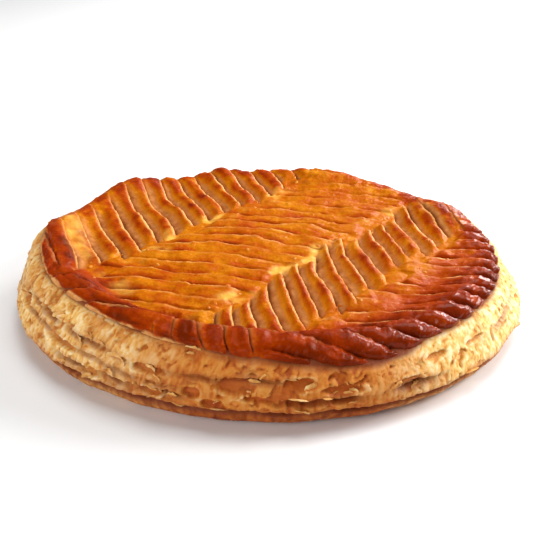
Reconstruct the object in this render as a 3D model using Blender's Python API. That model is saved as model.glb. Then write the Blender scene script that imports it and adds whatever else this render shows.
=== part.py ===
"""Galette des rois: a round pie of two puff pastry sheets, glazed and scored in a herringbone.

It is one baked body: the layers fused at the side, nothing cut, so it is one closed solid. The wall is
puffed between the seams of its pastry sheets, the rim stands uneven above a sunken middle, and the score
strokes are notches that opened in the oven, each with a steep side and a ramp.

Units are metres, +Z up. The origin is the middle of the flat underside.
"""

import math

import bmesh
import bpy
import numpy as np
from mathutils import Vector

RADIUS = 0.130  # at the widest, half way up the puffed side
COLUMNS = 76  # points round each ring of the body

# The side from the underside's edge to the rim's crest: (share of the crest's height, share of RADIUS).
SIDE = (
    (0.00, 0.902),
    (0.05, 0.936),
    (0.15, 0.962),
    (0.26, 0.980),
    (0.40, 1.000),
    (0.56, 0.992),
    (0.70, 0.968),
    (0.84, 0.936),
    (0.94, 0.904),
    (1.00, 0.860),
)
# Seams between the pastry sheets: (height share, how far they wander up and down, depth, half width).
SEAMS = (
    (0.235, 0.018, 0.0030, 0.028),
    (0.455, 0.035, 0.0024, 0.030),
    (0.705, 0.028, 0.0036, 0.034),
)

RIM_HEIGHT = 0.0335  # mean height of the crest
RIM_TILT = 0.0058  # how much more it rose towards TILT_TOWARDS, and less away from it
TILT_TOWARDS = math.radians(225)
# Places where the rim puffed up or stayed down: (angle in degrees, half width in degrees, rise).
PUFFS = (
    (20, 16, 0.0026),
    (27, 9, 0.0034),
    (70, 15, 0.0046),
    (104, 5, 0.0024),
    (118, 9, -0.0018),
    (136, 8, 0.0040),
    (156, 10, -0.0034),
    (176, 9, 0.0026),
    (300, 16, -0.0020),
)
# The side leans in most here: (direction, how far at the crest).
LEANS = ((math.radians(237), 0.0060), (math.radians(5), 0.0035))
BULGE_TOWARDS, BULGE = math.radians(322), 0.0034  # the foot spread most here
FLARE = 0.018  # left and right, the side is wider low down and narrower half way up by this share

MIDDLE_HEIGHT = 0.0278  # of the scored surface, inside the rim
MIDDLE_DOME = 0.0016
SUNK_FROM = 0.68 * RADIUS  # the surface climbs from here to the crest
SURFACE_RINGS = 9

# The herringbone: bands side by side along BAND_ANGLE, each filled with parallel strokes.
BAND_ANGLE = math.radians(50.5)
STROKE_REACH = 0.95 * RADIUS  # strokes run this far out, through the rim
STATION_STEP = 0.016  # between the sections of a blade
ABOVE = 0.005  # how far a blade stands out of the crust, so that its cut is open
LIP = 0.0003  # how far the ramp's upper edge stands out
RIM_DEPTH = 0.0030  # strokes open this deep where they run out through the rim
# The bands from the back left to the front right, as shares of RADIUS across from the middle line:
# (from, to, direction of the strokes in degrees, gap between strokes, where one stroke lies as a share of
# that gap, depth, share of the gap that opened).
BANDS = (
    (-0.96, -0.39, -67.0, 0.0900, 0.82, 0.0026, 0.42),
    (-0.34, 0.16, -14.0, 0.0880, 0.43, 0.0013, 0.34),
    (0.205, 0.515, -76.5, 0.0773, 0.69, 0.0026, 0.45),
    (0.555, 0.96, -14.0, 0.0850, 0.94, 0.0019, 0.34),
)

CRUST_COLOUR = (0.60, 0.20, 0.03, 1.0)
CRUST_ROUGHNESS = 0.38


def turn_between(angle, centre):
    """The angle from centre to angle, from -pi to pi."""
    return (angle - centre + math.pi) % (2 * math.pi) - math.pi


def crest_height(angle):
    """Height of the rim's crest at an angle round the pie."""
    height = RIM_HEIGHT + RIM_TILT * math.cos(angle - TILT_TOWARDS)
    for centre, width, rise in PUFFS:
        away = turn_between(angle, math.radians(centre)) / math.radians(width)
        height += rise * math.exp(-away * away)
    return height


def outline(angle):
    """How far the widest ring strays from a circle, as a factor: a hand-cut disc that puffed unevenly."""
    return 1 + 0.004 * math.sin(2 * angle + 0.6) + 0.003 * math.sin(5 * angle + 1.9)


def seam_shares(angle):
    """The height share of each seam at an angle round the pie."""
    return [seam[0] + seam[1] * math.sin((2 + i) * angle + 1.7 * i) for i, seam in enumerate(SEAMS)]


def side_point(share, angle):
    """(radius, height) on the side, with share from 0 at the underside to 1 at the crest."""
    shares = [h for h, _ in SIDE]
    radius = RADIUS * float(np.interp(share, shares, [r for _, r in SIDE]))
    radius *= 1 + FLARE * math.cos(angle) ** 2 * math.sin(2 * math.pi * min(1.0, share / 0.75))
    radius += BULGE * max(0.0, math.cos(angle - BULGE_TOWARDS)) ** 6 * (1 - share)
    for towards, lean in LEANS:
        radius -= lean * max(0.0, math.cos(angle - towards)) ** 2 * share**1.5
    for seam, (_, _, depth, width) in zip(seam_shares(angle), SEAMS):
        radius -= depth * max(0.0, 1 - abs(share - seam) / width)
    return radius * outline(angle), share * crest_height(angle)


def ring_shares(angle):
    """Height shares of the side's rings: three at each seam, so that it is a crease, and some between."""
    shares = [0.0, 0.06]
    for seam, (_, _, _, width) in zip(seam_shares(angle), SEAMS):
        shares += [(shares[-1] + seam - width) / 2, seam - width, seam, seam + width]
    last = shares[-1]
    return shares + [last + (1 - last) * step for step in (0.36, 0.70, 1.0)]


def surface_height(radius, angle):
    """Height of the uncut scored surface, which climbs to the crest and falls away outside it."""
    crest = side_point(1.0, angle)[0]
    middle = MIDDLE_HEIGHT + MIDDLE_DOME * (1 - (radius / SUNK_FROM) ** 2)
    if radius <= crest:
        climb = max(0.0, (radius - SUNK_FROM) / (crest - SUNK_FROM))
        climb = climb * climb * (3 - 2 * climb)
        return middle + (crest_height(angle) - middle) * climb
    return crest_height(angle) - 0.55 * (radius - crest)


def material(name, colour, roughness):
    made = bpy.data.materials.new(name)
    made.use_nodes = True
    shader = made.node_tree.nodes["Principled BSDF"]
    shader.inputs["Base Color"].default_value = colour
    shader.inputs["Roughness"].default_value = roughness
    return made


def ring(mesh, radius_and_height):
    """One closed ring of points, from a function of the angle."""
    points = []
    for column in range(COLUMNS):
        angle = 2 * math.pi * column / COLUMNS
        radius, height = radius_and_height(angle)
        points.append(mesh.verts.new((radius * math.cos(angle), radius * math.sin(angle), height)))
    return points


def pastry_body():
    """The pie before scoring: rings from the underside up the side, over the crest and in to the middle."""
    mesh = bmesh.new()
    rings = []
    for i in range(len(ring_shares(0.0))):
        rings.append(ring(mesh, lambda angle, i=i: side_point(ring_shares(angle)[i], angle)))
    for i in range(1, SURFACE_RINGS):
        inward = 1 - i / SURFACE_RINGS

        def on_surface(angle, inward=inward):
            radius = inward * side_point(1.0, angle)[0]
            return radius, surface_height(radius, angle)

        rings.append(ring(mesh, on_surface))
    for lower, upper in zip(rings, rings[1:]):
        for a in range(COLUMNS):
            b = (a + 1) % COLUMNS
            mesh.faces.new((lower[a], lower[b], upper[b], upper[a]))
    top = mesh.verts.new((0, 0, surface_height(0.0, 0.0)))
    for a in range(COLUMNS):
        mesh.faces.new((rings[-1][a], rings[-1][(a + 1) % COLUMNS], top))
    mesh.faces.new(reversed(rings[0]))
    data = bpy.data.meshes.new("galette")
    mesh.to_mesh(data)
    mesh.free()
    return data


def blade(mesh, start, end, opens_to, width, depth):
    """A four-sided blade along a stroke: a steep side, a ramp up towards opens_to, and open above.

    It follows the surface, tapers at an end inside the rim and deepens at an end that runs out through it.
    """
    sections = []
    stations = max(4, math.ceil((end - start).length / STATION_STEP))
    for i in range(stations + 1):
        along = i / stations
        spot = start.lerp(end, along)
        to_start = along if start.length < STROKE_REACH - 0.001 else 1
        to_end = 1 - along if end.length < STROKE_REACH - 0.001 else 1
        taper = 0.15 + 0.85 * math.sin(math.pi / 2 * min(1, to_start / 0.3, to_end / 0.3))
        at_rim = min(1.0, max(0.0, (spot.length / RADIUS - 0.72) / 0.18))
        cut = (depth + (RIM_DEPTH - depth) * at_rim) * taper
        lip = spot + opens_to * (width * taper)
        points = []
        for place, rise in ((spot, -cut), (spot, ABOVE), (lip, ABOVE), (lip, LIP)):
            height = surface_height(place.length, math.atan2(place.y, place.x)) + rise
            points.append(mesh.verts.new((place.x, place.y, height)))
        sections.append(points)
    for near, far in zip(sections, sections[1:]):
        for a in range(4):
            b = (a + 1) % 4
            mesh.faces.new((near[a], near[b], far[b], far[a]))
    mesh.faces.new(reversed(sections[0]))
    mesh.faces.new(sections[-1])


def clipped(start, end):
    """The stretch of a stroke inside STROKE_REACH, or None."""
    way = end - start
    a, b, c = way.dot(way), 2 * start.dot(way), start.dot(start) - STROKE_REACH**2
    root = b * b - 4 * a * c
    if root <= 0:
        return None
    low = max(0.0, (-b - math.sqrt(root)) / (2 * a))
    high = min(1.0, (-b + math.sqrt(root)) / (2 * a))
    return (start + way * low, start + way * high) if high > low else None


def score_blades():
    """Every blade of the herringbone in one mesh, band by band and stroke by stroke."""
    mesh = bmesh.new()
    across = Vector((math.sin(BAND_ANGLE), -math.cos(BAND_ANGLE)))
    for low, high, direction, gap, lies_at, depth, opened in BANDS:
        low, high, gap = low * RADIUS, high * RADIUS, gap * RADIUS
        stroke = Vector((math.cos(math.radians(direction)), math.sin(math.radians(direction))))
        opens_to = Vector((-stroke.y, stroke.x))
        count = math.ceil(RADIUS / gap)
        for i in range(-count, count + 1):
            foot = opens_to * ((i + lies_at) * gap)
            start = foot + stroke * ((low - foot.dot(across)) / stroke.dot(across))
            end = foot + stroke * ((high - foot.dot(across)) / stroke.dot(across))
            kept = clipped(start, end)
            if kept and (kept[1] - kept[0]).length > 1.5 * gap:
                blade(mesh, *kept, opens_to, gap * opened, depth)
    bmesh.ops.recalc_face_normals(mesh, faces=mesh.faces)
    data = bpy.data.meshes.new("score_blades")
    mesh.to_mesh(data)
    mesh.free()
    return data


def main():
    for old in list(bpy.data.objects):
        bpy.data.objects.remove(old)

    pastry = bpy.data.objects.new("galette", pastry_body())
    bpy.context.scene.collection.objects.link(pastry)
    pastry.data.materials.append(material("glazed_pastry", CRUST_COLOUR, CRUST_ROUGHNESS))

    blades = bpy.data.objects.new("score_blades", score_blades())
    bpy.context.scene.collection.objects.link(blades)
    blades.hide_render = True
    blades.display_type = "WIRE"

    scoring = pastry.modifiers.new("scoring", "BOOLEAN")
    scoring.operation = "DIFFERENCE"
    scoring.solver = "EXACT"
    scoring.use_self = True
    scoring.object = blades
    pastry.data.shade_smooth()
    pastry.data.set_sharp_from_angle(angle=math.radians(35))


main()
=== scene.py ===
"""A baked galette des rois: layered puff pastry side, glazed lid scored in a herringbone."""

import math

import bmesh
import bpy
import numpy as np
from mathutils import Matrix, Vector


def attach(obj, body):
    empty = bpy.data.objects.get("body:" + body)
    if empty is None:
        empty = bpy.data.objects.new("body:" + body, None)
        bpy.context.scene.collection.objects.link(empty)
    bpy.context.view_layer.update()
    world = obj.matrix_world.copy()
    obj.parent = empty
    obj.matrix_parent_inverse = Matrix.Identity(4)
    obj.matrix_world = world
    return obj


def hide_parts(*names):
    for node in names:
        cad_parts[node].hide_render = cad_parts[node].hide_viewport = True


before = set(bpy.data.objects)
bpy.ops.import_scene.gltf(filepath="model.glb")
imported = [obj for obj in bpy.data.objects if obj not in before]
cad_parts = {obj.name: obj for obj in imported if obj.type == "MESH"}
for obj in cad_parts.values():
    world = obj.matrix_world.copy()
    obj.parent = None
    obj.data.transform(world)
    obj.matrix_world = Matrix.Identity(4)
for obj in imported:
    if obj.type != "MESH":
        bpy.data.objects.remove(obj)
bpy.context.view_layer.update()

# ---------------------------------------------------------------------------------------------------
# The lid: one sheet of puff pastry, brushed with egg and scored before baking. Its strokes opened into tan
# grooves between browned ridges, and it domed, sank in the middle and rolled over the rim. It shares its
# outline and height with the side below.

PIE_RADIUS = 0.130
CREST_MEAN = 0.0335  # height of the rim
CREST_TILT = 0.0058  # the rim puffed up more at the front left, and less at the back right
# Puffs and dips along the rim: angle and width in degrees, and rise in metres.
PUFFS = ((20, 16, 0.0026), (27, 9, 0.0034), (70, 15, 0.0046), (104, 5, 0.0024), (118, 9, -0.0018),
         (136, 8, 0.0040), (156, 10, -0.0034), (176, 9, 0.0026), (300, 16, -0.0020))
# From the foot to the crest: share of the crest's height, and share of PIE_RADIUS.
SIDE_HEIGHTS = (0.00, 0.05, 0.15, 0.26, 0.40, 0.56, 0.70, 0.84, 0.94, 1.00)
SIDE_RADII = (0.902, 0.936, 0.962, 0.980, 1.000, 0.992, 0.968, 0.936, 0.904, 0.860)
FLARE = 0.018  # left and right, the side is wider low down and narrower half way up by this share
BULGE_TOWARDS, BULGE = math.radians(322), 0.0034  # the foot spread at the front right
LEANS = ((237, 0.0060), (5, 0.0035))  # the side leans in towards these degrees by this much at the crest


def crest_height(angle):
    height = CREST_MEAN + CREST_TILT * np.cos(angle - math.radians(225))
    for middle, width, rise in PUFFS:
        away = (angle - math.radians(middle) + np.pi) % (2 * np.pi) - np.pi
        height = height + rise * np.exp(-((away / math.radians(width)) ** 2))
    return height


def side_radius(share, angle):
    """Radius of the uncreased side at a share of the crest's height."""
    fine = np.linspace(0, 1, 101)
    soft = np.interp(fine, SIDE_HEIGHTS, SIDE_RADII)
    soft[1:-1] = np.convolve(np.pad(soft, 4, mode="edge"), np.hanning(11)[1:-1] / 5, mode="valid")[1:-1]
    radius = PIE_RADIUS * np.interp(share, fine, soft)
    radius = radius * (1 + FLARE * np.cos(angle) ** 2 * np.sin(2 * np.pi * np.clip(share / 0.75, 0, 1)))
    radius = radius + BULGE * np.maximum(0, np.cos(angle - BULGE_TOWARDS)) ** 6 * (1 - share)
    for towards, lean in LEANS:
        facing = np.maximum(0, np.cos(angle - math.radians(towards)))
        radius = radius - lean * facing**2 * np.clip(share, 0, 1) ** 1.5
    return radius * (1 + 0.004 * np.sin(2 * angle + 0.6) + 0.003 * np.sin(5 * angle + 1.9))


def smooth(low, high, value):
    """0 below low, 1 above high, and a smooth step between."""
    t = np.clip((value - low) / (high - low), 0, 1)
    return t * t * (3 - 2 * t)


def ripple(points, size, seed, octaves=2, stretch=(1, 1, 1)):
    """Smooth random swells from about -1 to 1, as wide as size in metres."""
    slopes = np.random.default_rng(seed).normal(size=(24, 24, 24, 3))
    slopes /= np.linalg.norm(slopes, axis=-1, keepdims=True)
    total = np.zeros(len(points))
    for octave in range(octaves):
        spot = points / (np.array(stretch) * size) * 2**octave + 5.37 * octave + 100
        cell = np.floor(spot).astype(int)
        part = spot - cell
        ease = part**3 * (part * (part * 6 - 15) + 10)
        sum_ = np.zeros(len(points))
        for dx in (0, 1):
            for dy in (0, 1):
                for dz in (0, 1):
                    corner = slopes[(cell[:, 0] + dx) % 24, (cell[:, 1] + dy) % 24, (cell[:, 2] + dz) % 24]
                    dot = ((part - (dx, dy, dz)) * corner).sum(axis=1)
                    weight = np.abs(1 - dx - ease[:, 0]) * np.abs(1 - dy - ease[:, 1])
                    sum_ += dot * weight * np.abs(1 - dz - ease[:, 2])
        total += sum_ * 0.55**octave
    return total * 1.5


def grid_mesh(name, points, closed, attributes):
    """A mesh over a grid of points, rows by columns, with each attribute on its points."""
    rows, columns = points.shape[:2]
    index = np.arange(rows * columns).reshape(rows, columns)
    right = np.roll(index, -1, axis=1) if closed else index[:, 1:]
    left = index if closed else index[:, :-1]
    faces = np.stack([left[:-1], right[:-1], right[1:], left[1:]], axis=-1).reshape(-1, 4)
    mesh = bpy.data.meshes.new(name)
    mesh.vertices.add(rows * columns)
    mesh.vertices.foreach_set("co", points.reshape(-1))
    mesh.loops.add(faces.size)
    mesh.loops.foreach_set("vertex_index", faces.reshape(-1))
    mesh.polygons.add(len(faces))
    mesh.polygons.foreach_set("loop_start", np.arange(0, faces.size, 4))
    mesh.update(calc_edges=True)
    mesh.validate()
    mesh.shade_smooth()
    for label, values in attributes.items():
        mesh.attributes.new(label, "FLOAT", "POINT").data.foreach_set("value", values.reshape(-1))
    made = bpy.data.objects.new(name, mesh)
    bpy.context.scene.collection.objects.link(made)
    return made


LID_GRID = 306  # faces along each side of the sheet
CREST_AT = 0.868  # share of the way from the middle to the lid's lower edge
LID_MIDDLE = 0.0278
LID_DOME = 0.0016
SUNK_FROM = 0.68 * PIE_RADIUS  # the sheet climbs from here to the rim
SPOKES = 720  # rows of the table that the lid is read from
STEPS_OUT = 400  # its columns, from the middle to the lower edge
CREST_STEP = int(CREST_AT * STEPS_OUT)
# Where the lid ends on the side: angle in degrees, share of the crest's height, share of its slope left bare.
LID_EDGE = ((0, 0.87, 0.10), (30, 0.90, 0.15), (90, 0.92, 0.2), (150, 0.92, 0.25), (178, 0.92, 0.25),
            (200, 0.92, 0.25), (222, 0.91, 0.28), (246, 0.87, 0.10), (258, 0.85, 0.05), (264, 0.84, -0.1),
            (270, 0.84, -0.1), (277, 0.80, -0.3), (285, 0.775, -0.3), (292, 0.78, -0.3), (299, 0.82, -0.2),
            (306, 0.87, -0.1), (316, 0.86, 0.0), (330, 0.86, 0.06), (345, 0.86, 0.10), (360, 0.87, 0.10))
BAND_ANGLE = math.radians(50.5)
# Herringbone bands from the back left to the front right, as shares of PIE_RADIUS: from, to, direction of
# the strokes in degrees, gap between strokes, where one lies, depth in metres, share of the gap opened.
BANDS = (
    (-1.30, -0.378, -67.0, 0.0900, 0.82, 0.0030, 0.36),
    (-0.368, 0.188, -14.0, 0.0880, 0.43, 0.0010, 0.16),
    (0.200, 0.520, -76.5, 0.0773, 0.69, 0.0031, 0.36),
    (0.535, 1.30, -14.0, 0.0850, 0.94, 0.0014, 0.12),
)
STROKE_END = 0.0034  # length over which a stroke runs out at the edge of its band
BROWN_FROM = 0.013  # ridges brown fully this far in from the edge of their band
PUFF_LIMIT = 0.0385  # puffs above this height are held in


def lid_edge(angle, column):
    """Share of the crest's height where the lid ends, or share of its outer slope left bare."""
    table = np.array(LID_EDGE)
    return np.interp(np.degrees(angle) % 360, table[:, 0], table[:, column])


def lid_table():
    """The unscored lid as a table over angle and share of the way out: radius, height and way along it."""
    angle = np.linspace(0, 2 * np.pi, SPOKES + 1)[:, None]
    way = np.linspace(0, 1, STEPS_OUT + 1)[None, :]
    crest = crest_height(angle)
    crest_radius = side_radius(1.0, angle)
    lower = lid_edge(angle, 1)
    inside = np.minimum(1, way / CREST_AT)
    radius = inside * crest_radius
    middle = LID_MIDDLE + LID_DOME * (1 - (radius / SUNK_FROM) ** 2)
    climb = smooth(0, 1, (radius - SUNK_FROM) / (crest_radius - SUNK_FROM))
    height = middle + (crest - middle) * climb
    down = np.maximum(0, (way - CREST_AT) / (1 - CREST_AT))
    share = 1 - down * (1 - lower)
    outside = way > CREST_AT
    radius = np.where(outside, side_radius(share, angle), radius)
    height = np.where(outside, share * crest, height)
    kernel = np.hanning(25)
    kernel /= kernel.sum()
    for table in (radius, height):
        for row in table:
            soft = np.convolve(np.pad(row, 12, mode="reflect", reflect_type="odd"), kernel, mode="valid")
            row[1:-1] = soft[1:-1]
    steps = np.hypot(np.diff(radius, axis=1), np.diff(height, axis=1))
    along = np.concatenate([radius[:, :1] * 0, np.cumsum(steps, axis=1)], axis=1)
    at_crest = slice(CREST_STEP, CREST_STEP + 1)
    along = np.where(outside, along - along[:, at_crest] + radius[:, at_crest], radius)
    return radius, height, along


lid_radius, lid_height, lid_along = lid_table()


def look_up(table, angle, way):
    """Bilinear reading of a table over angle and way."""
    row = (angle % (2 * np.pi)) / (2 * np.pi) * SPOKES
    column = np.clip(way, 0, 1) * STEPS_OUT
    r = np.minimum(row.astype(int), SPOKES - 1)
    c = np.minimum(column.astype(int), STEPS_OUT - 1)
    fr, fc = row - r, column - c
    low = table[r, c] * (1 - fc) + table[r, c + 1] * fc
    high = table[r + 1, c] * (1 - fc) + table[r + 1, c + 1] * fc
    return low * (1 - fr) + high * fr


def way_out(x, y):
    """Angle and share of the way to the lid's lower edge, of points laid flat."""
    angle = np.arctan2(y, x)
    spokes = np.linspace(0, 2 * np.pi, SPOKES + 1)
    lower = np.interp(angle % (2 * np.pi), spokes, lid_along[:, -1])
    crest = np.interp(angle % (2 * np.pi), spokes, lid_along[:, CREST_STEP])
    along = np.hypot(x, y)
    crest_way = CREST_STEP / STEPS_OUT
    inner = along / crest * crest_way
    outer = crest_way + (along - crest) / (lower - crest) * (1 - crest_way)
    return angle, np.where(along < crest, inner, outer)


def strokes(x, y):
    """For points laid flat: how far across the bands they lie, and what each band's strokes do there."""
    flat = np.column_stack([x, y, np.zeros(len(x))])
    sway = ripple(flat, 0.024, 11) * 0.0013 + ripple(flat, 0.006, 12) * 0.00035
    border = ripple(flat, 0.018, 13) * 0.0026
    across = x * math.sin(BAND_ANGLE) - y * math.cos(BAND_ANGLE) + border
    found = []
    for k, (low, high, direction, gap, lies_at, depth, opened) in enumerate(BANDS):
        turn = math.radians(direction)
        n = -x * math.sin(turn) + y * math.cos(turn) + sway
        if k == 1:
            middle = across / PIE_RADIUS + 0.09
            n = n - 0.0030 * (1 - (middle / 0.26) ** 2) + 0.0030 * ripple(flat, 0.036, 14)
            n = n + 0.0009 * ripple(flat, 0.010, 15)
        if k in (0, 2):
            inner = (across / PIE_RADIUS - (low if k == 2 else high)) * (1 if k == 2 else -1)
            n = n - np.maximum(0, 1 - np.maximum(0, inner) / 0.11) ** 2 * (0.0032 if k == 2 else -0.0016)
        gap = gap * PIE_RADIUS
        count = n / gap - lies_at
        number = np.floor(count).astype(int)
        phase = count - number
        chance = np.random.default_rng(40 + k).uniform(size=(64, 4))[number % 64]
        from_ = (low + 0.08 * (chance[:, 0] - 0.5)) * PIE_RADIUS
        to = (high + 0.08 * (chance[:, 1] - 0.5)) * PIE_RADIUS
        there = smooth(0, STROKE_END, across - from_) * smooth(0, STROKE_END, to - across)
        strength = 0.80 + 0.4 * chance[:, 2] if k != 1 else 0.25 + 1.25 * chance[:, 2]
        inward = smooth(0, BROWN_FROM, across - from_) * smooth(0, BROWN_FROM, to - across)
        found.append((there, inward, phase, strength, opened * (0.75 + 0.5 * chance[:, 3]), n, gap, turn))
    return across, found


# The sheet's points lie in square rings, each mapped to a round one, so that it has no pole.
side_by_side = np.linspace(-1, 1, LID_GRID + 1)
a, b = np.meshgrid(side_by_side, side_by_side)
a, b = a.reshape(-1), b.reshape(-1)
wide = np.abs(a) > np.abs(b)
safe_a, safe_b = np.where(a == 0, 1e-9, a), np.where(b == 0, 1e-9, b)
spoke = np.where(wide, a, b)
lid_angle = np.where(wide, np.pi / 4 * b / safe_a, np.pi / 2 - np.pi / 4 * a / safe_b)
lid_angle = np.where(spoke < 0, lid_angle + np.pi, lid_angle)
lid_way = np.abs(spoke)
flat_radius = look_up(lid_along, lid_angle, lid_way)
x, y = flat_radius * np.cos(lid_angle), flat_radius * np.sin(lid_angle)

# Points are drawn towards the steep side of each groove, which would be ragged on an even grid.
across, found = strokes(x, y)
pull_x, pull_y = np.zeros(len(x)), np.zeros(len(x))
loose = 1 - smooth(0.965, 0.995, lid_way)
for there, inward, phase, strength, opened, n, gap, turn in found:
    pull = -0.60 * np.sin(2 * np.pi * phase) / (2 * np.pi) * gap * there * loose
    pull_x += -math.sin(turn) * pull
    pull_y += math.cos(turn) * pull
x, y = x + pull_x, y + pull_y
lid_angle, lid_way = way_out(x, y)
edge = np.maximum(np.abs(a), np.abs(b)) > 0.9999
lid_way = np.where(edge, 1.0, np.clip(lid_way, 0, 1))
across, found = strokes(x, y)

radius = look_up(lid_radius, lid_angle, lid_way)
height = look_up(lid_height, lid_angle, lid_way)
flat = np.column_stack([x, y, np.zeros(len(x))])
share_out = np.hypot(x, y) / PIE_RADIUS
degrees = np.degrees(lid_angle) % 360


def near(middle, width):
    """1 at an angle round the pie, fading to 0 over width degrees to either side."""
    away = np.abs((degrees - middle + 180) % 360 - 180)
    return smooth(width, 0.35 * width, away)


# What the strokes of each band do in turn: how they raise and cut the sheet, where they open, split and brown
# it, and where highlights on their lips and shade in their cuts are painted.
raised = np.zeros(len(x))
opened_floor = np.zeros(len(x))
# Painted shade: dark colour in the grooves' deep corners, the rim's cuts and the wrinkles' hollows.
crevice_shade = np.zeros(len(x))
# Painted highlight: pale colour along the lit lip of each ridge.
bright_edge = np.zeros(len(x))
browner = np.zeros(len(x))
finger_gap = np.zeros(len(x))
down_rim = np.maximum(0, (lid_way - CREST_AT) / (1 - CREST_AT))
rim_fade = smooth(0.76, 0.86, share_out)
rim_zone = smooth(0.72, 0.84, share_out)
lobes = smooth(0.77, 0.88, share_out) * np.clip(near(335, 68) + near(275, 30) + near(200, 34), 0, 1)
outer = smooth(CREST_AT - 0.07, CREST_AT + 0.02, lid_way)
fading = 0.62 + 1.1 * ripple(flat, 0.018, 24)
fading *= 1 - 0.75 * near(62, 34) * smooth(0.42, 0.66, share_out)
grain = np.zeros(len(x))
for k, (there, inward, phase, strength, opened, n, gap, turn) in enumerate(found):
    depth = BANDS[k][5]
    if k == 0:
        there = there * (1 - 0.92 * near(154, 32) * smooth(0.77, 0.88, share_out))
    along = x * math.cos(turn) + y * math.sin(turn)
    laid = np.column_stack([n * 7, along, flat[:, 2]])
    strands = ripple(laid, 0.024, 50 + k, 3)
    grain += there * strands
    lobe = -1.5 + 2.3 * (1 - np.abs(2 * phase - 1) ** 2.6)
    gully = smooth(0.10, 0.02, phase) + smooth(0.90, 0.98, phase)
    if k in (0, 2):
        # A deep stroke: a tan floor that slopes up to a browned ridge, with a thin lip, where a highlight is
        # painted, and a steep end, with painted shade at its foot.
        opened = opened * (1 - 0.75 * rim_fade)
        ridge = smooth(opened, opened + 0.30, phase)
        floor = smooth(0.0, opened, phase)
        swell = np.sin(np.pi * np.clip((phase - opened) / (1 - opened), 0, 1)) ** 0.8
        cut = -1.0 + 0.28 * floor + 0.50 * ridge + 0.46 * swell
        cut = cut - 0.20 * smooth(0.12, 0.02, phase)
        cut = cut * (1 - smooth(0.955, 1.0, phase)) - 1.15 * smooth(0.955, 1.0, phase)
        size = depth * strength * (1 - 0.40 * rim_fade * (k == 0))
        flat_lobe = 0.16 - 0.50 * (smooth(0.10, 0.0, phase) + smooth(0.94, 1.0, phase))
        shaped = flat_lobe if k == 2 else 0.75 * lobe
        kept = smooth(0.81, 0.71, share_out) if k == 2 else 1.0
        held = outer if k == 2 else 1.0
        raised += size * there * (cut * (1 - lobes) * kept + shaped * lobes * held)
        shown = there * (1 - 0.85 * rim_fade)
        opened_floor += shown * smooth(opened * 1.20, opened * 0.85, phase)
        # Painted highlight on the ridge's lip.
        lit_edge = smooth(0.83, 0.91, phase) * smooth(0.985, 0.950, phase) * (0.7 + 0.6 * strands)
        bright_edge += shown * lit_edge * (1 - 0.85 * rim_zone * (k == 2))
        # Painted shade at the foot of the steep end, and in the slit where the stroke cuts the rim.
        dark = 0.75 * smooth(0.24, 0.03, phase) + smooth(0.975, 1.0, phase)
        slit = smooth(0.06, 0.01, phase) + smooth(0.98, 1.0, phase) * (k == 2)
        crevice_shade += there * (dark * (1 - rim_fade) + slit * rim_fade * held)
        top = smooth(opened + 0.08, opened + 0.24, phase) * smooth(0.95, 0.84, phase)
        browner += (0.2 * there + 0.8 * inward) * top * (0.24 + 0.34 * ripple(flat, 0.010, 34, 2))
        foot = smooth(opened * 0.8, opened, phase) * smooth(opened + 0.20, opened + 0.06, phase)
        browner -= there * 0.10 * foot
    else:
        # A shallow stroke: a fine wavering line, which splits the rim into leaf-shaped lobes. A highlight is
        # painted on its back edge and shade in its cut.
        hump = np.sin(np.pi * np.clip(phase, 0, 1)) ** 0.6
        cut = -1.0 + 1.35 * hump + 0.30 * strands
        cut = cut - 0.55 * smooth(0.09, 0.0, phase) - 0.55 * smooth(0.95, 1.0, phase)
        clear = np.clip(fading, 0.05, 1.3)
        leaf_depth = 0.0022 - 0.0009 * near(282, 26)
        raised += there * (depth * strength * cut * clear * (1 - lobes) + leaf_depth * lobe * lobes)
        seen = there * clear * (1 - lobes)
        # Painted highlight on the line's back edge.
        lit_edge = smooth(0.80, 0.88, phase) * smooth(0.97, 0.91, phase)
        bright_edge += seen * lit_edge * (1.0 if k == 3 else 0.45)
        browner += seen * (0.21 * smooth(0.34, 0.06, phase) + 0.16 * smooth(0.1, -0.4, strands))
        # Painted shade along the fine line's cut.
        crevice_shade += seen * (smooth(0.09, 0.01, phase) + smooth(0.97, 1.0, phase)) * 0.46
    finger_gap += there * gully * lobes * (outer if k == 2 else 1)

closed_over = near(185, 26) * smooth(0.74, 0.80, share_out)  # no groove shows through the rim at the left
opened_floor *= 1 - closed_over
crevice_shade *= 1 - closed_over

# Swells, blisters and wrinkles of the baked sheet, and the lobes' own finer wrinkles.
covered = np.clip(sum(stroke[0] for stroke in found), 0, 1)
raised -= 0.0012 * (1 - covered) * (1 - rim_fade)
swells = ripple(flat, 0.030, 21) * 0.0016 + ripple(flat, 0.011, 22) * 0.0007
blisters = ripple(flat, 0.0042, 23, 3)
raised += swells * (1 - 0.4 * rim_zone)
bubbles = np.maximum(0, ripple(flat, 0.0046, 26, 1) - 0.25) ** 1.3
raised += blisters * (0.00026 + 0.00022 * rim_zone) + grain * 0.00036 + bubbles * 0.0016
spoke_wise = np.column_stack([lid_angle * 0.110, lid_way * 0.030, 0 * x])
raised += ripple(spoke_wise, 0.0026, 25, 2) * 0.00020 * lobes
rolled = np.column_stack([lid_angle * 0.022, share_out * 0.120, 0 * x])
wrinkles = ripple(rolled, 0.0036, 37, 3) * rim_zone * (0.35 + 0.65 * near(215, 55))
raised += wrinkles * 0.0009
down_stroke = math.radians(-14)
wrinkled = np.column_stack([x * math.cos(down_stroke) + y * math.sin(down_stroke),
                            0.35 * (-x * math.sin(down_stroke) + y * math.cos(down_stroke)), 0 * x])
raised += ripple(wrinkled, 0.0030, 27, 3) * 0.00075 * lobes

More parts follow.
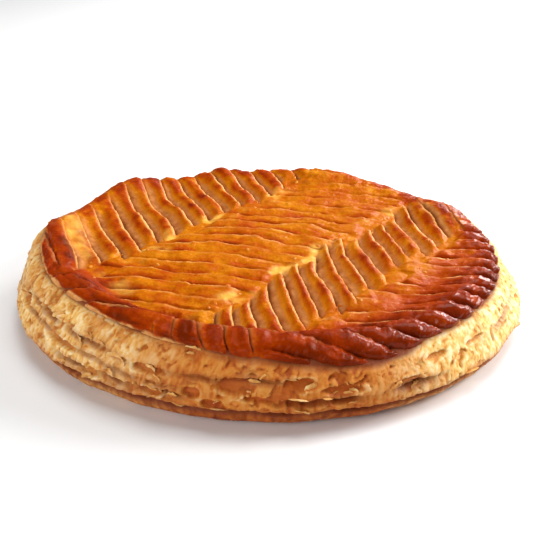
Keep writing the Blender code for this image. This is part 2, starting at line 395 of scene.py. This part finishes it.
# The lower edge turns in, and every point moves square to the unscored sheet.
raised *= 1 - 0.75 * smooth(0.985, 1.0, lid_way)
raised -= 0.0010 * smooth(0.975, 1.0, lid_way)
step = 0.002
slope_way = look_up(lid_height, lid_angle, lid_way + step) - look_up(lid_height, lid_angle, lid_way - step)
slope_radius = look_up(lid_radius, lid_angle, lid_way + step) - look_up(lid_radius, lid_angle, lid_way - step)
length = np.hypot(slope_way, slope_radius) + 1e-9
out_part, up_part = -slope_way / length, slope_radius / length
radius = radius + raised * out_part
height = height + raised * up_part
height = np.where(height > PUFF_LIMIT, PUFF_LIMIT + 0.6 * (height - PUFF_LIMIT), height)
lid_points = np.column_stack([radius * np.cos(lid_angle), radius * np.sin(lid_angle), height])

# How far each point browned, with painted shade added in the gaps between the rim's lobes and towards the
# back, where the rim is darkest, and where the dough shows yellow or bare.
w = across / PIE_RADIUS
patches = ripple(flat, 0.022, 31, 3)
blotches = 0.045 * ripple(flat, 0.0065, 38, 3)
rim_dark = 1.00 * near(345, 80) + 1.00 * near(268, 46) + 1.00 * near(212, 52)
rim_dark += 0.45 * near(138, 26) + 0.60 * near(50, 30) + 0.22 * near(95, 30)
starts = 0.865 - 0.04 * near(350, 70) - 0.12 * near(280, 30) + 0.02 * near(95, 40) - 0.09 * near(215, 60)
starts = starts - 0.06 * near(206, 30) - 0.11 * near(248, 26)
darkened = smooth(starts - 0.09, starts + 0.07, share_out + 0.05 * patches + blotches)
browned_and_shade = 0.22 + 0.46 * np.clip(rim_dark, 0, 1.0) * darkened
browned_and_shade += 0.28 * smooth(0.50, 0.72, w) * smooth(0.30, 0.62, share_out)
# Painted shade: the gaps between the rim's lobes are darkened.
browned_and_shade += browner * (1 - 0.6 * lobes) + 0.12 * np.clip(finger_gap, 0, 1)
# Painted shade in the hollows of the rim's wrinkles.
crevice_shade += 0.35 * smooth(0.20, 0.50, -wrinkles) * (1 - lobes) * near(225, 60)
lobe_tips = smooth(0.82, 0.98, share_out) * near(330, 75)
browned_and_shade += 0.13 * patches + 0.06 * grain - 0.26 * rim_zone * np.clip(ripple(flat, 0.008, 36, 3), 0, 1)
browned_and_shade += 0.12 * lobe_tips - 0.08 * near(335, 70) * rim_zone
browned_and_shade -= 0.30 * wrinkles * (1 - lobes)
# Painted shade: the lid is darkened towards the back, where the back lamp lights it most.
browned_and_shade += 0.01 + 0.05 * near(75, 62) * smooth(0.25, 0.70, share_out) - 0.05 * near(280, 34) * rim_zone
tips = np.exp(-(((w + 0.350) / 0.062) ** 2)) + 0.85 * np.exp(-(((w - 0.185) / 0.048) ** 2))
flap_at = 0.740 + 0.0055 * np.maximum(0, 184 - degrees) - 0.0012 * np.maximum(0, degrees - 184)
flap = near(179, 17) * np.exp(-(((share_out - flap_at) / 0.034) ** 2))
flap += 0.8 * near(214, 7) * np.exp(-(((share_out - 0.645) / 0.030) ** 2))
yolk = 0.85 * smooth(0.20, 0.95, tips * (0.40 + 1.7 * ripple(flat, 0.016, 32, 3)))
yolk = yolk * (1 - smooth(0.58, 0.72, share_out))
yolk = np.maximum(yolk, flap * np.clip(0.7 + 0.6 * ripple(flat, 0.006, 35, 2), 0, 1))
bare_share = lid_edge(lid_angle, 2)
bare = smooth(-0.06, 0.06, down_rim - (1 - bare_share) + 0.16 * ripple(flat, 0.009, 33, 3))
split = smooth(0.75, 1.0, down_rim) * np.clip(finger_gap, 0, 1) * 0.5 * (1 - near(286, 36))
bare = np.maximum(bare, split)
glossy = np.clip(smooth(0.76, 0.90, share_out) * rim_dark, 0, 1) * (1 - bare)
glossy *= 0.25 + 2.8 * near(338, 60)

lid = grid_mesh("glazed_lid", lid_points.reshape(LID_GRID + 1, LID_GRID + 1, 3), False, {
    "browned_and_shade": browned_and_shade, "opened": np.clip(opened_floor, 0, 1), "crevice_shade": np.clip(crevice_shade, 0, 1),
    "bright_edge": np.clip(bright_edge, 0, 1), "yolk": yolk, "bare": bare, "glossy": glossy})


def linear(red, green, blue):
    """A colour given from 0 to 255 as a screen shows it, in the shader's linear values."""
    shown = [c / 255 for c in (red, green, blue)]
    return [((c + 0.055) / 1.055) ** 2.4 if c > 0.04 else c / 12.92 for c in shown] + [1.0]


class Recipe:
    """A material's nodes, added in the order they are mixed."""

    def __init__(self, name):
        self.material = bpy.data.materials.new(name)
        self.material.use_nodes = True
        self.nodes = self.material.node_tree.nodes
        self.links = self.material.node_tree.links
        self.shader = self.nodes["Principled BSDF"]
        self.place = self.nodes.new("ShaderNodeTexCoord").outputs["Object"]

    def attribute(self, name):
        node = self.nodes.new("ShaderNodeAttribute")
        node.attribute_name = name
        return node.outputs["Fac"]

    def noise(self, size, detail=3.0, stretch=(1, 1, 1)):
        """Noise from about 0 to 1, with swells of a size in metres."""
        mapping = self.nodes.new("ShaderNodeMapping")
        mapping.inputs["Scale"].default_value = [1 / (size * s) for s in stretch]
        node = self.nodes.new("ShaderNodeTexNoise")
        node.inputs["Scale"].default_value = 1.0
        node.inputs["Detail"].default_value = detail
        self.links.new(self.place, mapping.inputs["Vector"])
        self.links.new(mapping.outputs["Vector"], node.inputs["Vector"])
        return node.outputs["Fac"]

    def math(self, kind, first, second):
        node = self.nodes.new("ShaderNodeMath")
        node.operation = kind
        for socket, value in zip(node.inputs, (first, second)):
            if isinstance(value, (int, float)):
                socket.default_value = value
            else:
                self.links.new(value, socket)
        return node.outputs[0]

    def ramp(self, factor, stops):
        node = self.nodes.new("ShaderNodeValToRGB")
        self.links.new(factor, node.inputs["Fac"])
        elements = node.color_ramp.elements
        while len(elements) < len(stops):
            elements.new(0.5)
        for element, (position, colour) in zip(elements, stops):
            element.position = position
            element.color = colour
        return node.outputs["Color"]

    def mix(self, factor, first, second):
        node = self.nodes.new("ShaderNodeMix")
        node.data_type = "RGBA"
        colours = (node.inputs[0], node.inputs[6], node.inputs[7])  # a colour Mix has its own sockets
        for socket, value in zip(colours, (factor, first, second)):
            if isinstance(value, (int, float, list)):
                socket.default_value = value
            else:
                self.links.new(value, socket)
        return node.outputs[2]

    def bump(self, height, strength, distance, before=None):
        node = self.nodes.new("ShaderNodeBump")
        node.inputs["Strength"].default_value = strength
        node.inputs["Distance"].default_value = distance
        self.links.new(height, node.inputs["Height"])
        if before:
            self.links.new(before, node.inputs["Normal"])
        return node.outputs["Normal"]

    def finish(self, colour, roughness, normal):
        self.links.new(colour, self.shader.inputs["Base Color"])
        if isinstance(roughness, (int, float)):
            self.shader.inputs["Roughness"].default_value = roughness
        else:
            self.links.new(roughness, self.shader.inputs["Roughness"])
        self.links.new(normal, self.shader.inputs["Normal"])
        return self.material


glaze = Recipe("baked_egg_glaze")
wander = glaze.math("MULTIPLY", glaze.math("SUBTRACT", glaze.noise(0.006, 4), 0.5), 0.42)
speck = glaze.math("MULTIPLY", glaze.math("SUBTRACT", glaze.noise(0.0012, 3), 0.5), 0.30)
tone = glaze.math("ADD", glaze.math("ADD", glaze.attribute("browned_and_shade"), wander), speck)
colour = glaze.ramp(tone, [
    (0.02, linear(218, 136, 18)),
    (0.24, linear(192, 103, 0)),
    (0.44, linear(176, 70, 0)),
    (0.62, linear(156, 50, 0)),
    (0.80, linear(136, 38, 0)),
    (0.98, linear(110, 30, 0)),
])
colour = glaze.mix(glaze.attribute("yolk"), colour, linear(241, 180, 78))
tan = glaze.ramp(glaze.noise(0.004, 3), [(0.3, linear(182, 108, 52)), (0.7, linear(212, 144, 82))])
colour = glaze.mix(glaze.attribute("opened"), colour, tan)
# Painted highlight: the ridges' lips are coloured pale.
colour = glaze.mix(glaze.attribute("bright_edge"), colour, linear(248, 186, 112))
# Painted shade: grooves, cuts and wrinkle hollows are coloured deep brown.
colour = glaze.mix(glaze.attribute("crevice_shade"), colour, linear(104, 44, 10))
pale = glaze.ramp(glaze.noise(0.003, 4), [(0.3, linear(190, 116, 60)), (0.7, linear(224, 166, 102))])
colour = glaze.mix(glaze.attribute("bare"), colour, pale)
matte = glaze.math("MAXIMUM", glaze.attribute("opened"), glaze.attribute("bare"))
roughness = glaze.math("ADD", glaze.math("MULTIPLY", matte, 0.35), 0.36)
wrinkle = glaze.bump(glaze.noise(0.0018, 5), 0.60, 0.0008)
wrinkle = glaze.bump(glaze.noise(0.0007, 3), 0.30, 0.0004, before=wrinkle)
coat = glaze.math("ADD", glaze.math("MULTIPLY", glaze.attribute("glossy"), 0.13), 0.012)
glaze.links.new(coat, glaze.shader.inputs["Coat Weight"])
glaze.shader.inputs["Coat Roughness"].default_value = 0.08
glaze.shader.inputs["Specular IOR Level"].default_value = 0.05
glaze.shader.inputs["Specular Tint"].default_value = (1.0, 0.62, 0.30, 1.0)
lid.data.materials.append(glaze.finish(colour, roughness, wrinkle))
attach(lid, "root")
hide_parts("galette")

# ---------------------------------------------------------------------------------------------------
# The side: the edges of the two folded sheets, puffed into pale leaves with amber hollows between them.
# It stands on the browned bottom sheet and closes underneath.

SIDE_COLUMNS = 1250
SIDE_ROWS = 70
all_round = np.linspace(0, 2 * np.pi, SIDE_COLUMNS, endpoint=False)
turns, rows = np.meshgrid(all_round, np.linspace(0, 1, SIDE_ROWS))
turns, rows = turns.reshape(-1), rows.reshape(-1)
# The side runs on up behind the lid, less far where the lid is short, so that no groove cuts down to it.
top_share = lid_edge(turns, 1) + np.minimum(0.055, 0.028 + 0.5 * (0.92 - lid_edge(turns, 1)))
share = rows * top_share
side_r = side_radius(share, turns)
side_z = share * crest_height(turns)
round_ = np.column_stack([side_r * np.cos(turns), side_r * np.sin(turns), side_z])
ring_only = np.column_stack([0.13 * np.cos(turns), 0.13 * np.sin(turns), 0 * turns])
turned = np.degrees(turns)


def around(middle, width):
    """1 at an angle round the side, fading to 0 over width degrees to either side."""
    return smooth(width, 0.4 * width, np.abs((turned - middle + 180) % 360 - 180))


# Lines between the leaves: share of the height, swing, angle it swings from, seed, depth, half width, and
# where it shows (angle, width in degrees).
LEAF_LINES = (
    (0.235, 0.012, 0, 62, 0.0034, 0.00110, ((0, 400),)),
    (0.275, 0.010, 40, 61, 0.0010, 0.00060, ((264, 40), (215, 40), (40, 60), (130, 40))),
    (0.430, 0.040, 200, 63, 0.0034, 0.00090, ((289, 22), (236, 26), (20, 30), (150, 50))),
    (0.560, 0.060, 215, 64, 0.0010, 0.00060, ((222, 44), (60, 40), (170, 30), (340, 24))),
    (0.680, 0.045, 215, 65, 0.0013, 0.00060, ((222, 30), (262, 20), (100, 50))),
)

tall = crest_height(turns)
crease_shade = np.zeros(len(turns))
leaf_edge = np.zeros(len(turns))
lines = np.zeros(len(turns))
leaf_at = []
for middle, swing, swung_from, seed, depth, width, shown in LEAF_LINES:
    at = middle - swing * np.sin(np.radians(turned - swung_from) * 2)
    at = at + 0.035 * ripple(ring_only, 0.034, seed, 3)
    at = at if middle > 0.3 else middle + 0.35 * (at - middle)  # the bottom sheet lies evener
    leaf_at.append(at)
    away = (share - at) * tall
    present = np.clip(sum(around(*spot) for spot in shown), 0, 1)
    least = 0.75 if middle < 0.25 else 0.15
    present = present * np.clip(0.85 + 0.9 * ripple(ring_only, 0.018, seed + 9, 2), least, 1.2)
    dip = np.exp(-((away / np.where(away > 0, width, 2.2 * width)) ** 2)) * present
    lines -= depth * dip
    # Painted shade along each line between the leaves.
    crease_shade += dip * min(1.0, depth / 0.0020) * (1.4 if middle < 0.25 else 1.0)
    ledge = np.exp(-(((away + 1.9 * width) / width) ** 2)) + np.exp(-(((away - 1.9 * width) / width) ** 2))
    lines += 0.0005 * ledge * present
    leaf_edge += ledge * present
sheet_line = leaf_at[0]
above_sheet = smooth(0.0, 0.03, share - sheet_line)
below_lid = smooth(0.0, 0.05, lid_edge(turns, 1) - share)

# Torn hollows with thin skins and strings of dough between them. The largest pockets: angle in degrees,
# share of the height, half width in degrees, half height as a share.
POCKETS = ((264, 0.56, 3.4, 0.09), (276, 0.60, 3.4, 0.07), (270, 0.45, 4.6, 0.045), (255.5, 0.46, 2.0, 0.08),
           (259, 0.36, 1.7, 0.06), (284, 0.53, 4.0, 0.06), (203, 0.58, 2.6, 0.08), (222, 0.52, 6.0, 0.045),
           (246, 0.60, 3.6, 0.05), (247, 0.38, 2.4, 0.06), (214, 0.70, 3.0, 0.05), (232, 0.36, 3.0, 0.04),
           (346, 0.46, 2.6, 0.035), (330, 0.52, 3.6, 0.030), (318, 0.64, 3.4, 0.035), (306, 0.68, 3.2, 0.04),
           (298, 0.52, 3.0, 0.04), (20, 0.55, 4.0, 0.05), (75, 0.48, 5.0, 0.06), (128, 0.58, 4.0, 0.05),
           (160, 0.42, 5.0, 0.05))

warp = 0.0022 * ripple(round_, 0.008, 80, 2)[:, None] * (1, 1, 1.6)
place = round_ + warp
hollow = ripple(place, 0.0085, 81, 3, stretch=(1, 1, 0.80)) + 0.30 * ripple(round_, 0.05, 82, 1)
hollow += 0.22 * around(250, 34) - 0.10 * around(330, 60)
hollow = 0.8 * smooth(0.44, 0.66, hollow) * (1 - 0.8 * np.clip(leaf_edge, 0, 1))
skin = np.zeros(len(turns))
ragged = 0.30 * ripple(place, 0.0060, 94, 3)
patchy = np.clip(0.5 + 1.3 * ripple(place, 0.009, 96, 2), 0, 1)
for middle, at, half_turn, half_share in POCKETS:
    aside = (turned - middle + 180) % 360 - 180
    away = np.sqrt((aside / half_turn) ** 2 + ((share - at) / half_share) ** 2) + ragged
    hollow = np.maximum(hollow, smooth(1.0, 0.80, away))
    skin += smooth(0.94, 1.06, away) * smooth(1.50, 1.10, away) * patchy
hollow = hollow * above_sheet * below_lid
skin = np.clip(skin, 0, 1) * above_sheet * below_lid * (1 - hollow)
pit = 0.7 * smooth(0.38, 0.60, ripple(place, 0.0040, 85, 2, stretch=(2.0, 2.0, 0.8))) * above_sheet
pit *= 1 - 0.6 * around(330, 60)
billow = np.abs(ripple(place, 0.0068, 84, 2, stretch=(0.8, 0.8, 2.4)))
strings = 1 - 2.2 * np.abs(ripple(place, 0.0026, 83, 3, stretch=(1, 1, 3.6)))
fibre = ripple(place, 0.0014, 89, 2, stretch=(1, 1, 3.0))

# What the tears, folds and fibres add to the side's radius, and how it tucks in under the lid.
detail = 0.00034 * smooth(0.0, 0.5, billow) + 0.00026 * strings + 0.00020 * fibre
torn = above_sheet * (0.45 + 0.55 * below_lid) * (1 - 0.25 * around(335, 60))
puffed = lines + torn * (detail * (1 - 0.75 * hollow) - 0.0021 * hollow - 0.0006 * pit + 0.0005 * skin)
cracks = ripple(round_, 0.0040, 90, 3, stretch=(0.6, 0.6, 2.2))
puffed += (1 - above_sheet) * (0.0004 + 0.00040 * cracks - 0.0005 * smooth(0.25, 0.5, cracks))
puffed += ripple(round_, 0.016, 86, 2) * 0.0009 - 0.0006
over = share - lid_edge(turns, 1)
tucked = smooth(-0.02, 0.0, over)
puffed -= 0.0010 * tucked + 0.0045 * smooth(0.0, 0.04, over)
under_crust = around(276, 22) * smooth(-0.085, -0.045, over)
puffed = puffed * (1 - 0.8 * under_crust) - 0.0012 * under_crust
shaded_lip = (0.28 + 0.75 * around(284, 30)) * smooth(-0.075, -0.010, over)
# Painted light and shade: pale on the puffs and fibres, darker in the hollows and pits; the skins add their
# own paleness.
relief_shade_and_skin = (detail - 0.00020) / 0.00042 - 0.9 * hollow - 0.8 * pit + 0.5 * skin
side_r = side_r + puffed
side_z = np.maximum(0, side_z + torn * 0.0005 * ripple(place, 0.0050, 91, 2))
side_z = np.where(rows == 0, 0.0, side_z)
side_points = np.stack([side_r * np.cos(turns), side_r * np.sin(turns), side_z], axis=-1)
side_points = side_points.reshape(SIDE_ROWS, SIDE_COLUMNS, 3)
under = [side_points[:1] * (inward, inward, 0) for inward in (0.0, 0.25, 0.5, 0.75, 0.92, 0.985)]
side_points = np.concatenate(under + [side_points])


def weld(made, points):
    """Joins each of these runs of points, whose points share one place, into one point."""
    shape = bmesh.new()
    shape.from_mesh(made.data)
    shape.verts.ensure_lookup_table()
    runs = [shape.verts[first:last] for first, last in points]
    for run in runs:
        bmesh.ops.remove_doubles(shape, verts=run, dist=1e-7)
    shape.to_mesh(made.data)
    shape.free()


def with_under(values, below):
    """Side values with those of the underside's rings before them."""
    return np.concatenate([np.full(len(under) * SIDE_COLUMNS, below), values])


# How brown the side is, and where flakes tore loose.
toasted = 0.06 + 0.30 * ripple(round_, 0.020, 88, 2) + 0.22 * around(215, 70) + 0.95 * around(274, 38)
toasted += 0.25 * around(120, 80) + 0.45 * smooth(0.16, 0.0, share - sheet_line) * above_sheet - 0.45 * skin
torn_edge = np.clip(0.55 * leaf_edge + 1.6 * hollow * (1 - hollow), 0, 1) * above_sheet * below_lid
torn_edge = torn_edge * (0.25 + 0.75 * around(272, 62)) * smooth(0.0, 0.06, share - sheet_line)
torn_edge = torn_edge * np.clip(0.6 + 1.0 * ripple(round_, 0.016, 92, 2), 0, 1)
side = grid_mesh("puffed_side", side_points, True, {
    "hollow": with_under(hollow, 0.0),
    # Painted shade: the leaf lines, the tuck under the lid's edge, the pits and the shaded lip.
    "crease_shade": with_under(np.clip(crease_shade + 0.9 * tucked + 0.35 * pit + shaded_lip, 0, 1), 0.0),
    "leaf_edge": with_under(np.clip(leaf_edge + 2 * under_crust, 0, 1), 0.0),
    "sheet": with_under(1 - above_sheet, 1.0),
    "relief_shade_and_skin": with_under(np.clip(0.5 + 0.5 * relief_shade_and_skin, 0, 1), 0.5),
    "toasted": with_under(np.clip(toasted, 0, 1), 0.5),
    "torn": with_under(torn_edge, 0.0)})
weld(side, [(0, SIDE_COLUMNS)])  # the middle of the underside

puff = Recipe("bare_pastry")
tint = puff.math("MULTIPLY", puff.math("SUBTRACT", puff.noise(0.0020, 5, (1, 1, 2.0)), 0.5), 1.15)
# The cream ramp paints the relief's light and shade, pale on the puffs and golden in the recesses.
cream = puff.ramp(puff.math("ADD", puff.attribute("relief_shade_and_skin"), tint), [
    (0.08, linear(204, 128, 42)), (0.32, linear(234, 178, 90)), (0.58, linear(245, 203, 124)),
    (0.90, linear(253, 229, 176))])
amber = puff.ramp(puff.noise(0.005, 3), [(0.3, linear(206, 126, 40)), (0.7, linear(232, 168, 84))])
colour = puff.mix(puff.math("MULTIPLY", puff.attribute("hollow"), 0.75), cream, amber)
rosy = puff.ramp(puff.noise(0.004, 3), [(0.3, linear(190, 118, 66)), (0.7, linear(222, 164, 110))])
colour = puff.mix(puff.math("MULTIPLY", puff.attribute("leaf_edge"), 0.55), colour, rosy)
sheet_tone = puff.ramp(puff.noise(0.005, 5, (0.6, 0.6, 1.2)), [
    (0.30, linear(140, 74, 24)), (0.48, linear(200, 134, 62)), (0.70, linear(238, 184, 112))])
colour = puff.mix(puff.attribute("sheet"), colour, sheet_tone)
browning = puff.nodes.new("ShaderNodeMix")
browning.data_type = "RGBA"
browning.blend_type = "MULTIPLY"
puff.links.new(puff.attribute("toasted"), browning.inputs[0])
puff.links.new(colour, browning.inputs[6])
browning.inputs[7].default_value = linear(208, 151, 85)
colour = browning.outputs[2]
# Painted shade: creases, pits and the tuck under the lid are coloured deep brown.
colour = puff.mix(puff.attribute("crease_shade"), colour, linear(122, 52, 14))
normal = puff.bump(puff.noise(0.0009, 4, (1, 1, 2.6)), 0.55, 0.0006)
puff.shader.inputs["Specular IOR Level"].default_value = 0.25
side.data.materials.append(puff.finish(colour, 0.62, normal))
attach(side, "root")

# ---------------------------------------------------------------------------------------------------
# Torn flakes: slivers of thin baked pastry that tore loose between the leaves as the side puffed up, left
# curling out of the creases. Each hangs on by its foot.

FLAKE_LENGTH = 0.0066
FLAKE_WIDTH = 0.0021
FLAKE_THICK = 0.00016
chance = np.random.default_rng(93)
steps_along = np.linspace(-1, 1, 8)
flake_top = []
for v in (0.0, 0.5, 1.0):
    ragged = 1 + 0.25 * chance.normal(size=8) * (v == 1.0)
    reach = FLAKE_WIDTH * v * (1 - 0.75 * steps_along**2) * ragged
    lift = 0.00012 + 0.0007 * v**1.5 * (1 - 0.6 * steps_along**2)
    flake_top.append(np.column_stack([steps_along * FLAKE_LENGTH / 2, reach, lift - 0.0004 * (1 - v)]))
flake_top = np.array(flake_top)
flake_rings = np.concatenate([flake_top, flake_top[::-1] - (0, 0, FLAKE_THICK)])
flake_rings = flake_rings.transpose(1, 0, 2)[::-1].copy()
for tip in (0, -1):
    flake_rings[tip] = flake_rings[tip].mean(axis=0)
flake = grid_mesh("one_flake", flake_rings, True, {})
weld(flake, [(0, 6), (42, 48)])  # each tip is a ring of six points

dough = Recipe("torn_flake")
tone = dough.ramp(dough.noise(0.004, 3), [
    (0.30, linear(196, 122, 50)), (0.52, linear(220, 160, 84)), (0.72, linear(240, 202, 138))])
dough.shader.inputs["Specular IOR Level"].default_value = 0.25
flake_material = dough.finish(tone, 0.6, dough.bump(dough.noise(0.0008, 3), 0.3, 0.0003))


class Tree:
    """A geometry node tree, with its named inputs and its nodes."""

    def __init__(self, name, inputs):
        self.tree = bpy.data.node_groups.new(name, "GeometryNodeTree")
        self.values = {}
        self.tree.interface.new_socket("Geometry", in_out="INPUT", socket_type="NodeSocketGeometry")
        self.tree.interface.new_socket("Geometry", in_out="OUTPUT", socket_type="NodeSocketGeometry")
        for label, (kind, value) in inputs.items():
            socket = self.tree.interface.new_socket(label, in_out="INPUT", socket_type="NodeSocket" + kind)
            self.values[socket.identifier] = value
        self.input = self.tree.nodes.new("NodeGroupInput").outputs
        self.output = self.tree.nodes.new("NodeGroupOutput").inputs

    def add(self, kind, settings, **wires):
        """A node with settings, and its inputs by name from values or from other nodes' sockets."""
        node = self.tree.nodes.new(kind)
        for label, value in settings.items():
            setattr(node, label, value)
        for label, source in wires.items():
            sockets = [i for i in node.inputs if i.name.replace(" ", "_") == label and i.enabled]
            if isinstance(source, bpy.types.NodeSocket):
                self.tree.links.new(source, sockets[0])
            else:
                sockets[0].default_value = source
        return node.outputs

    def made_of(self, name, base):
        """The tree's result on a base mesh, as an object with a plain mesh."""
        start = bpy.data.objects.new(name + "_base", base)
        bpy.context.scene.collection.objects.link(start)
        modifier = start.modifiers.new("grown", "NODES")
        modifier.node_group = self.tree
        for identifier, value in self.values.items():
            modifier[identifier] = value
        evaluated = start.evaluated_get(bpy.context.evaluated_depsgraph_get())
        result = bpy.data.objects.new(name, bpy.data.meshes.new_from_object(evaluated))
        start.modifiers.remove(modifier)
        bpy.data.objects.remove(start)
        bpy.context.scene.collection.objects.link(result)
        return result


def scattered(name, inputs, density_from, spins, upright):
    """A tree that stands copies of a shape on a surface, more where an attribute is higher."""
    made = Tree(name, inputs)
    share_here = made.add("GeometryNodeInputNamedAttribute", {"data_type": "FLOAT"}, Name=density_from)
    density = made.add("ShaderNodeMath", {"operation": "MULTIPLY"})
    made.tree.links.new(share_here[0], density[0].node.inputs[0])
    made.tree.links.new(made.input["Pieces per square metre"], density[0].node.inputs[1])
    spots = made.add("GeometryNodeDistributePointsOnFaces", {"distribute_method": "RANDOM"},
                     Mesh=made.input["Geometry"], Density=density[0], Seed=made.input["Seed"])
    shape = made.add("GeometryNodeObjectInfo", {}, Object=made.input["Shape"])
    facing = made.add("FunctionNodeAlignRotationToVector", {"axis": "Z"}, Vector=spots["Normal"])
    if upright:
        across_ = made.add("ShaderNodeVectorMath", {"operation": "CROSS_PRODUCT"})
        made.tree.links.new(spots["Normal"], across_[0].node.inputs[0])
        across_[0].node.inputs[1].default_value = (0, 0, -1)
        facing = made.add("FunctionNodeAlignRotationToVector", {"axis": "X", "pivot_axis": "Z"},
                          Rotation=facing[0], Vector=across_[0])
    spin = made.add("FunctionNodeRandomValue", {"data_type": "FLOAT"}, Min=-spins, Max=spins, Seed=3)
    turned_ = made.add("FunctionNodeAxisAngleToRotation", {}, Angle=spin["Value"])
    facing = made.add("FunctionNodeRotateRotation", {"rotation_space": "LOCAL"},
                      Rotation=facing[0], Rotate_By=turned_[0])
    size = made.add("FunctionNodeRandomValue", {"data_type": "FLOAT"}, Min=made.input["Smallest"],
                    Max=made.input["Largest"], Seed=5)
    copies = made.add("GeometryNodeInstanceOnPoints", {}, Points=spots["Points"], Instance=shape["Geometry"],
                      Rotation=facing[0], Scale=size["Value"])
    real = made.add("GeometryNodeRealizeInstances", {}, Geometry=copies[0])
    coated = made.add("GeometryNodeSetMaterial", {}, Geometry=real[0], Material=made.input["Material"])
    made.tree.links.new(coated[0], made.output["Geometry"])
    return made


flakes = scattered("flakes_on_the_side", {
    "Pieces per square metre": ("Float", 60000.0), "Seed": ("Int", 7), "Smallest": ("Float", 0.5),
    "Largest": ("Float", 1.45), "Shape": ("Object", flake), "Material": ("Material", flake_material),
}, "torn", 0.5, True).made_of("torn_flakes", side.data.copy())
bpy.data.objects.remove(flake)
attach(flakes, "root")

# ---------------------------------------------------------------------------------------------------
# Blisters: small bubbles of egg glaze and torn specks that rose on the lid in the oven, most of them where
# two bands of strokes meet. They are paler than the lid.

BLISTER_RADIUS = 0.0011
dome = []
for reach, lift in ((1.0, -0.25), (0.92, 0.10), (0.60, 0.42), (0.18, 0.55), (0.0, 0.56)):
    turn_ = np.linspace(0, 2 * np.pi, 8, endpoint=False)
    dome.append(np.column_stack([reach * np.cos(turn_) * 1.5, reach * np.sin(turn_), 0 * turn_ + lift]))
blister = grid_mesh("one_blister", BLISTER_RADIUS * np.array(dome), True, {})
weld(blister, [(32, 40)])  # the top is a ring of eight points
lid_mesh = lid.data.copy()
blistered = np.clip(0.15 + 0.9 * tips + 0.8 * smooth(0.50, 0.60, w) * smooth(0.72, 0.60, w), 0, 1)
blistered = blistered * np.clip(ripple(flat, 0.012, 95, 2), 0, 1) * (1 - rim_fade)
lid_mesh.attributes.new("blistered", "FLOAT", "POINT").data.foreach_set("value", blistered)
bubble = Recipe("risen_glaze")
tone = bubble.ramp(bubble.noise(0.003, 2), [(0.35, linear(196, 98, 4)), (0.65, linear(228, 150, 42))])
bubble.shader.inputs["Coat Weight"].default_value = 0.15
bubble.shader.inputs["Specular IOR Level"].default_value = 0.2
bubble_material = bubble.finish(tone, 0.38, bubble.bump(bubble.noise(0.0008, 3), 0.3, 0.0003))
blisters_made = scattered("blisters_on_the_lid", {
    "Pieces per square metre": ("Float", 42000.0), "Seed": ("Int", 4), "Smallest": ("Float", 0.35),
    "Largest": ("Float", 0.95), "Shape": ("Object", blister), "Material": ("Material", bubble_material),
}, "blistered", 3.1, False).made_of("glaze_blisters", lid_mesh)
bpy.data.objects.remove(blister)
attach(blisters_made, "root")

# ---------------------------------------------------------------------------------------------------
# The studio: a white sheet under the pie, soft light from the back right and above with a weak fill from
# the front left, and a camera.

bpy.ops.mesh.primitive_plane_add(size=6, location=(0, 0, -0.0002))
floor = bpy.context.object
floor.name = "white_floor"
sheet = Recipe("white_paper")
sheet.shader.inputs["Base Color"].default_value = (0.93, 0.93, 0.93, 1)
sheet.shader.inputs["Roughness"].default_value = 0.95
sheet.shader.inputs["Specular IOR Level"].default_value = 0.1
floor.data.materials.append(sheet.material)


def softbox(name, place, aim, width, height, watts):
    """A rectangular lamp, width by height in metres, that points from a place at an aim."""
    data = bpy.data.lights.new(name, "AREA")
    data.shape = "RECTANGLE"
    data.size = width
    data.size_y = height
    data.energy = watts
    made = bpy.data.objects.new(name, data)
    made.location = place
    made.rotation_euler = (Vector(aim) - Vector(place)).to_track_quat("-Z", "Y").to_euler()
    bpy.context.scene.collection.objects.link(made)


softbox("window_light", (0.90, 0.20, 0.50), (0, 0, 0.02), 0.5, 0.4, 12)
softbox("back_light", (0.55, 0.95, 0.50), (0, 0, 0.02), 0.4, 0.3, 8)
softbox("front_fill", (-0.7, -0.8, 0.45), (0, 0, 0.02), 0.8, 0.6, 6.5)
softbox("overhead", (0.1, 0.2, 1.3), (0, 0, 0), 0.9, 0.9, 10)

world = bpy.data.worlds.new("studio_white")
world.use_nodes = True
bpy.context.scene.world = world
world.node_tree.nodes["Background"].inputs["Color"].default_value = (1, 1, 1, 1)
world.node_tree.nodes["Background"].inputs["Strength"].default_value = 0.16

camera_data = bpy.data.cameras.new("camera")
camera_data.lens = 64.7
camera_data.sensor_width = 36
camera_data.clip_start = 0.01
camera = bpy.data.objects.new("camera", camera_data)
rise = math.radians(27.2)
distance = 0.52
camera.location = (0, -distance * math.cos(rise), distance * math.sin(rise))
aim = Vector((0.0011, 0, 0.0149))
camera.rotation_euler = (aim - camera.location).to_track_quat("-Z", "Y").to_euler()
bpy.context.scene.collection.objects.link(camera)
bpy.context.scene.camera = camera
bpy.context.scene.view_settings.view_transform = "Standard"
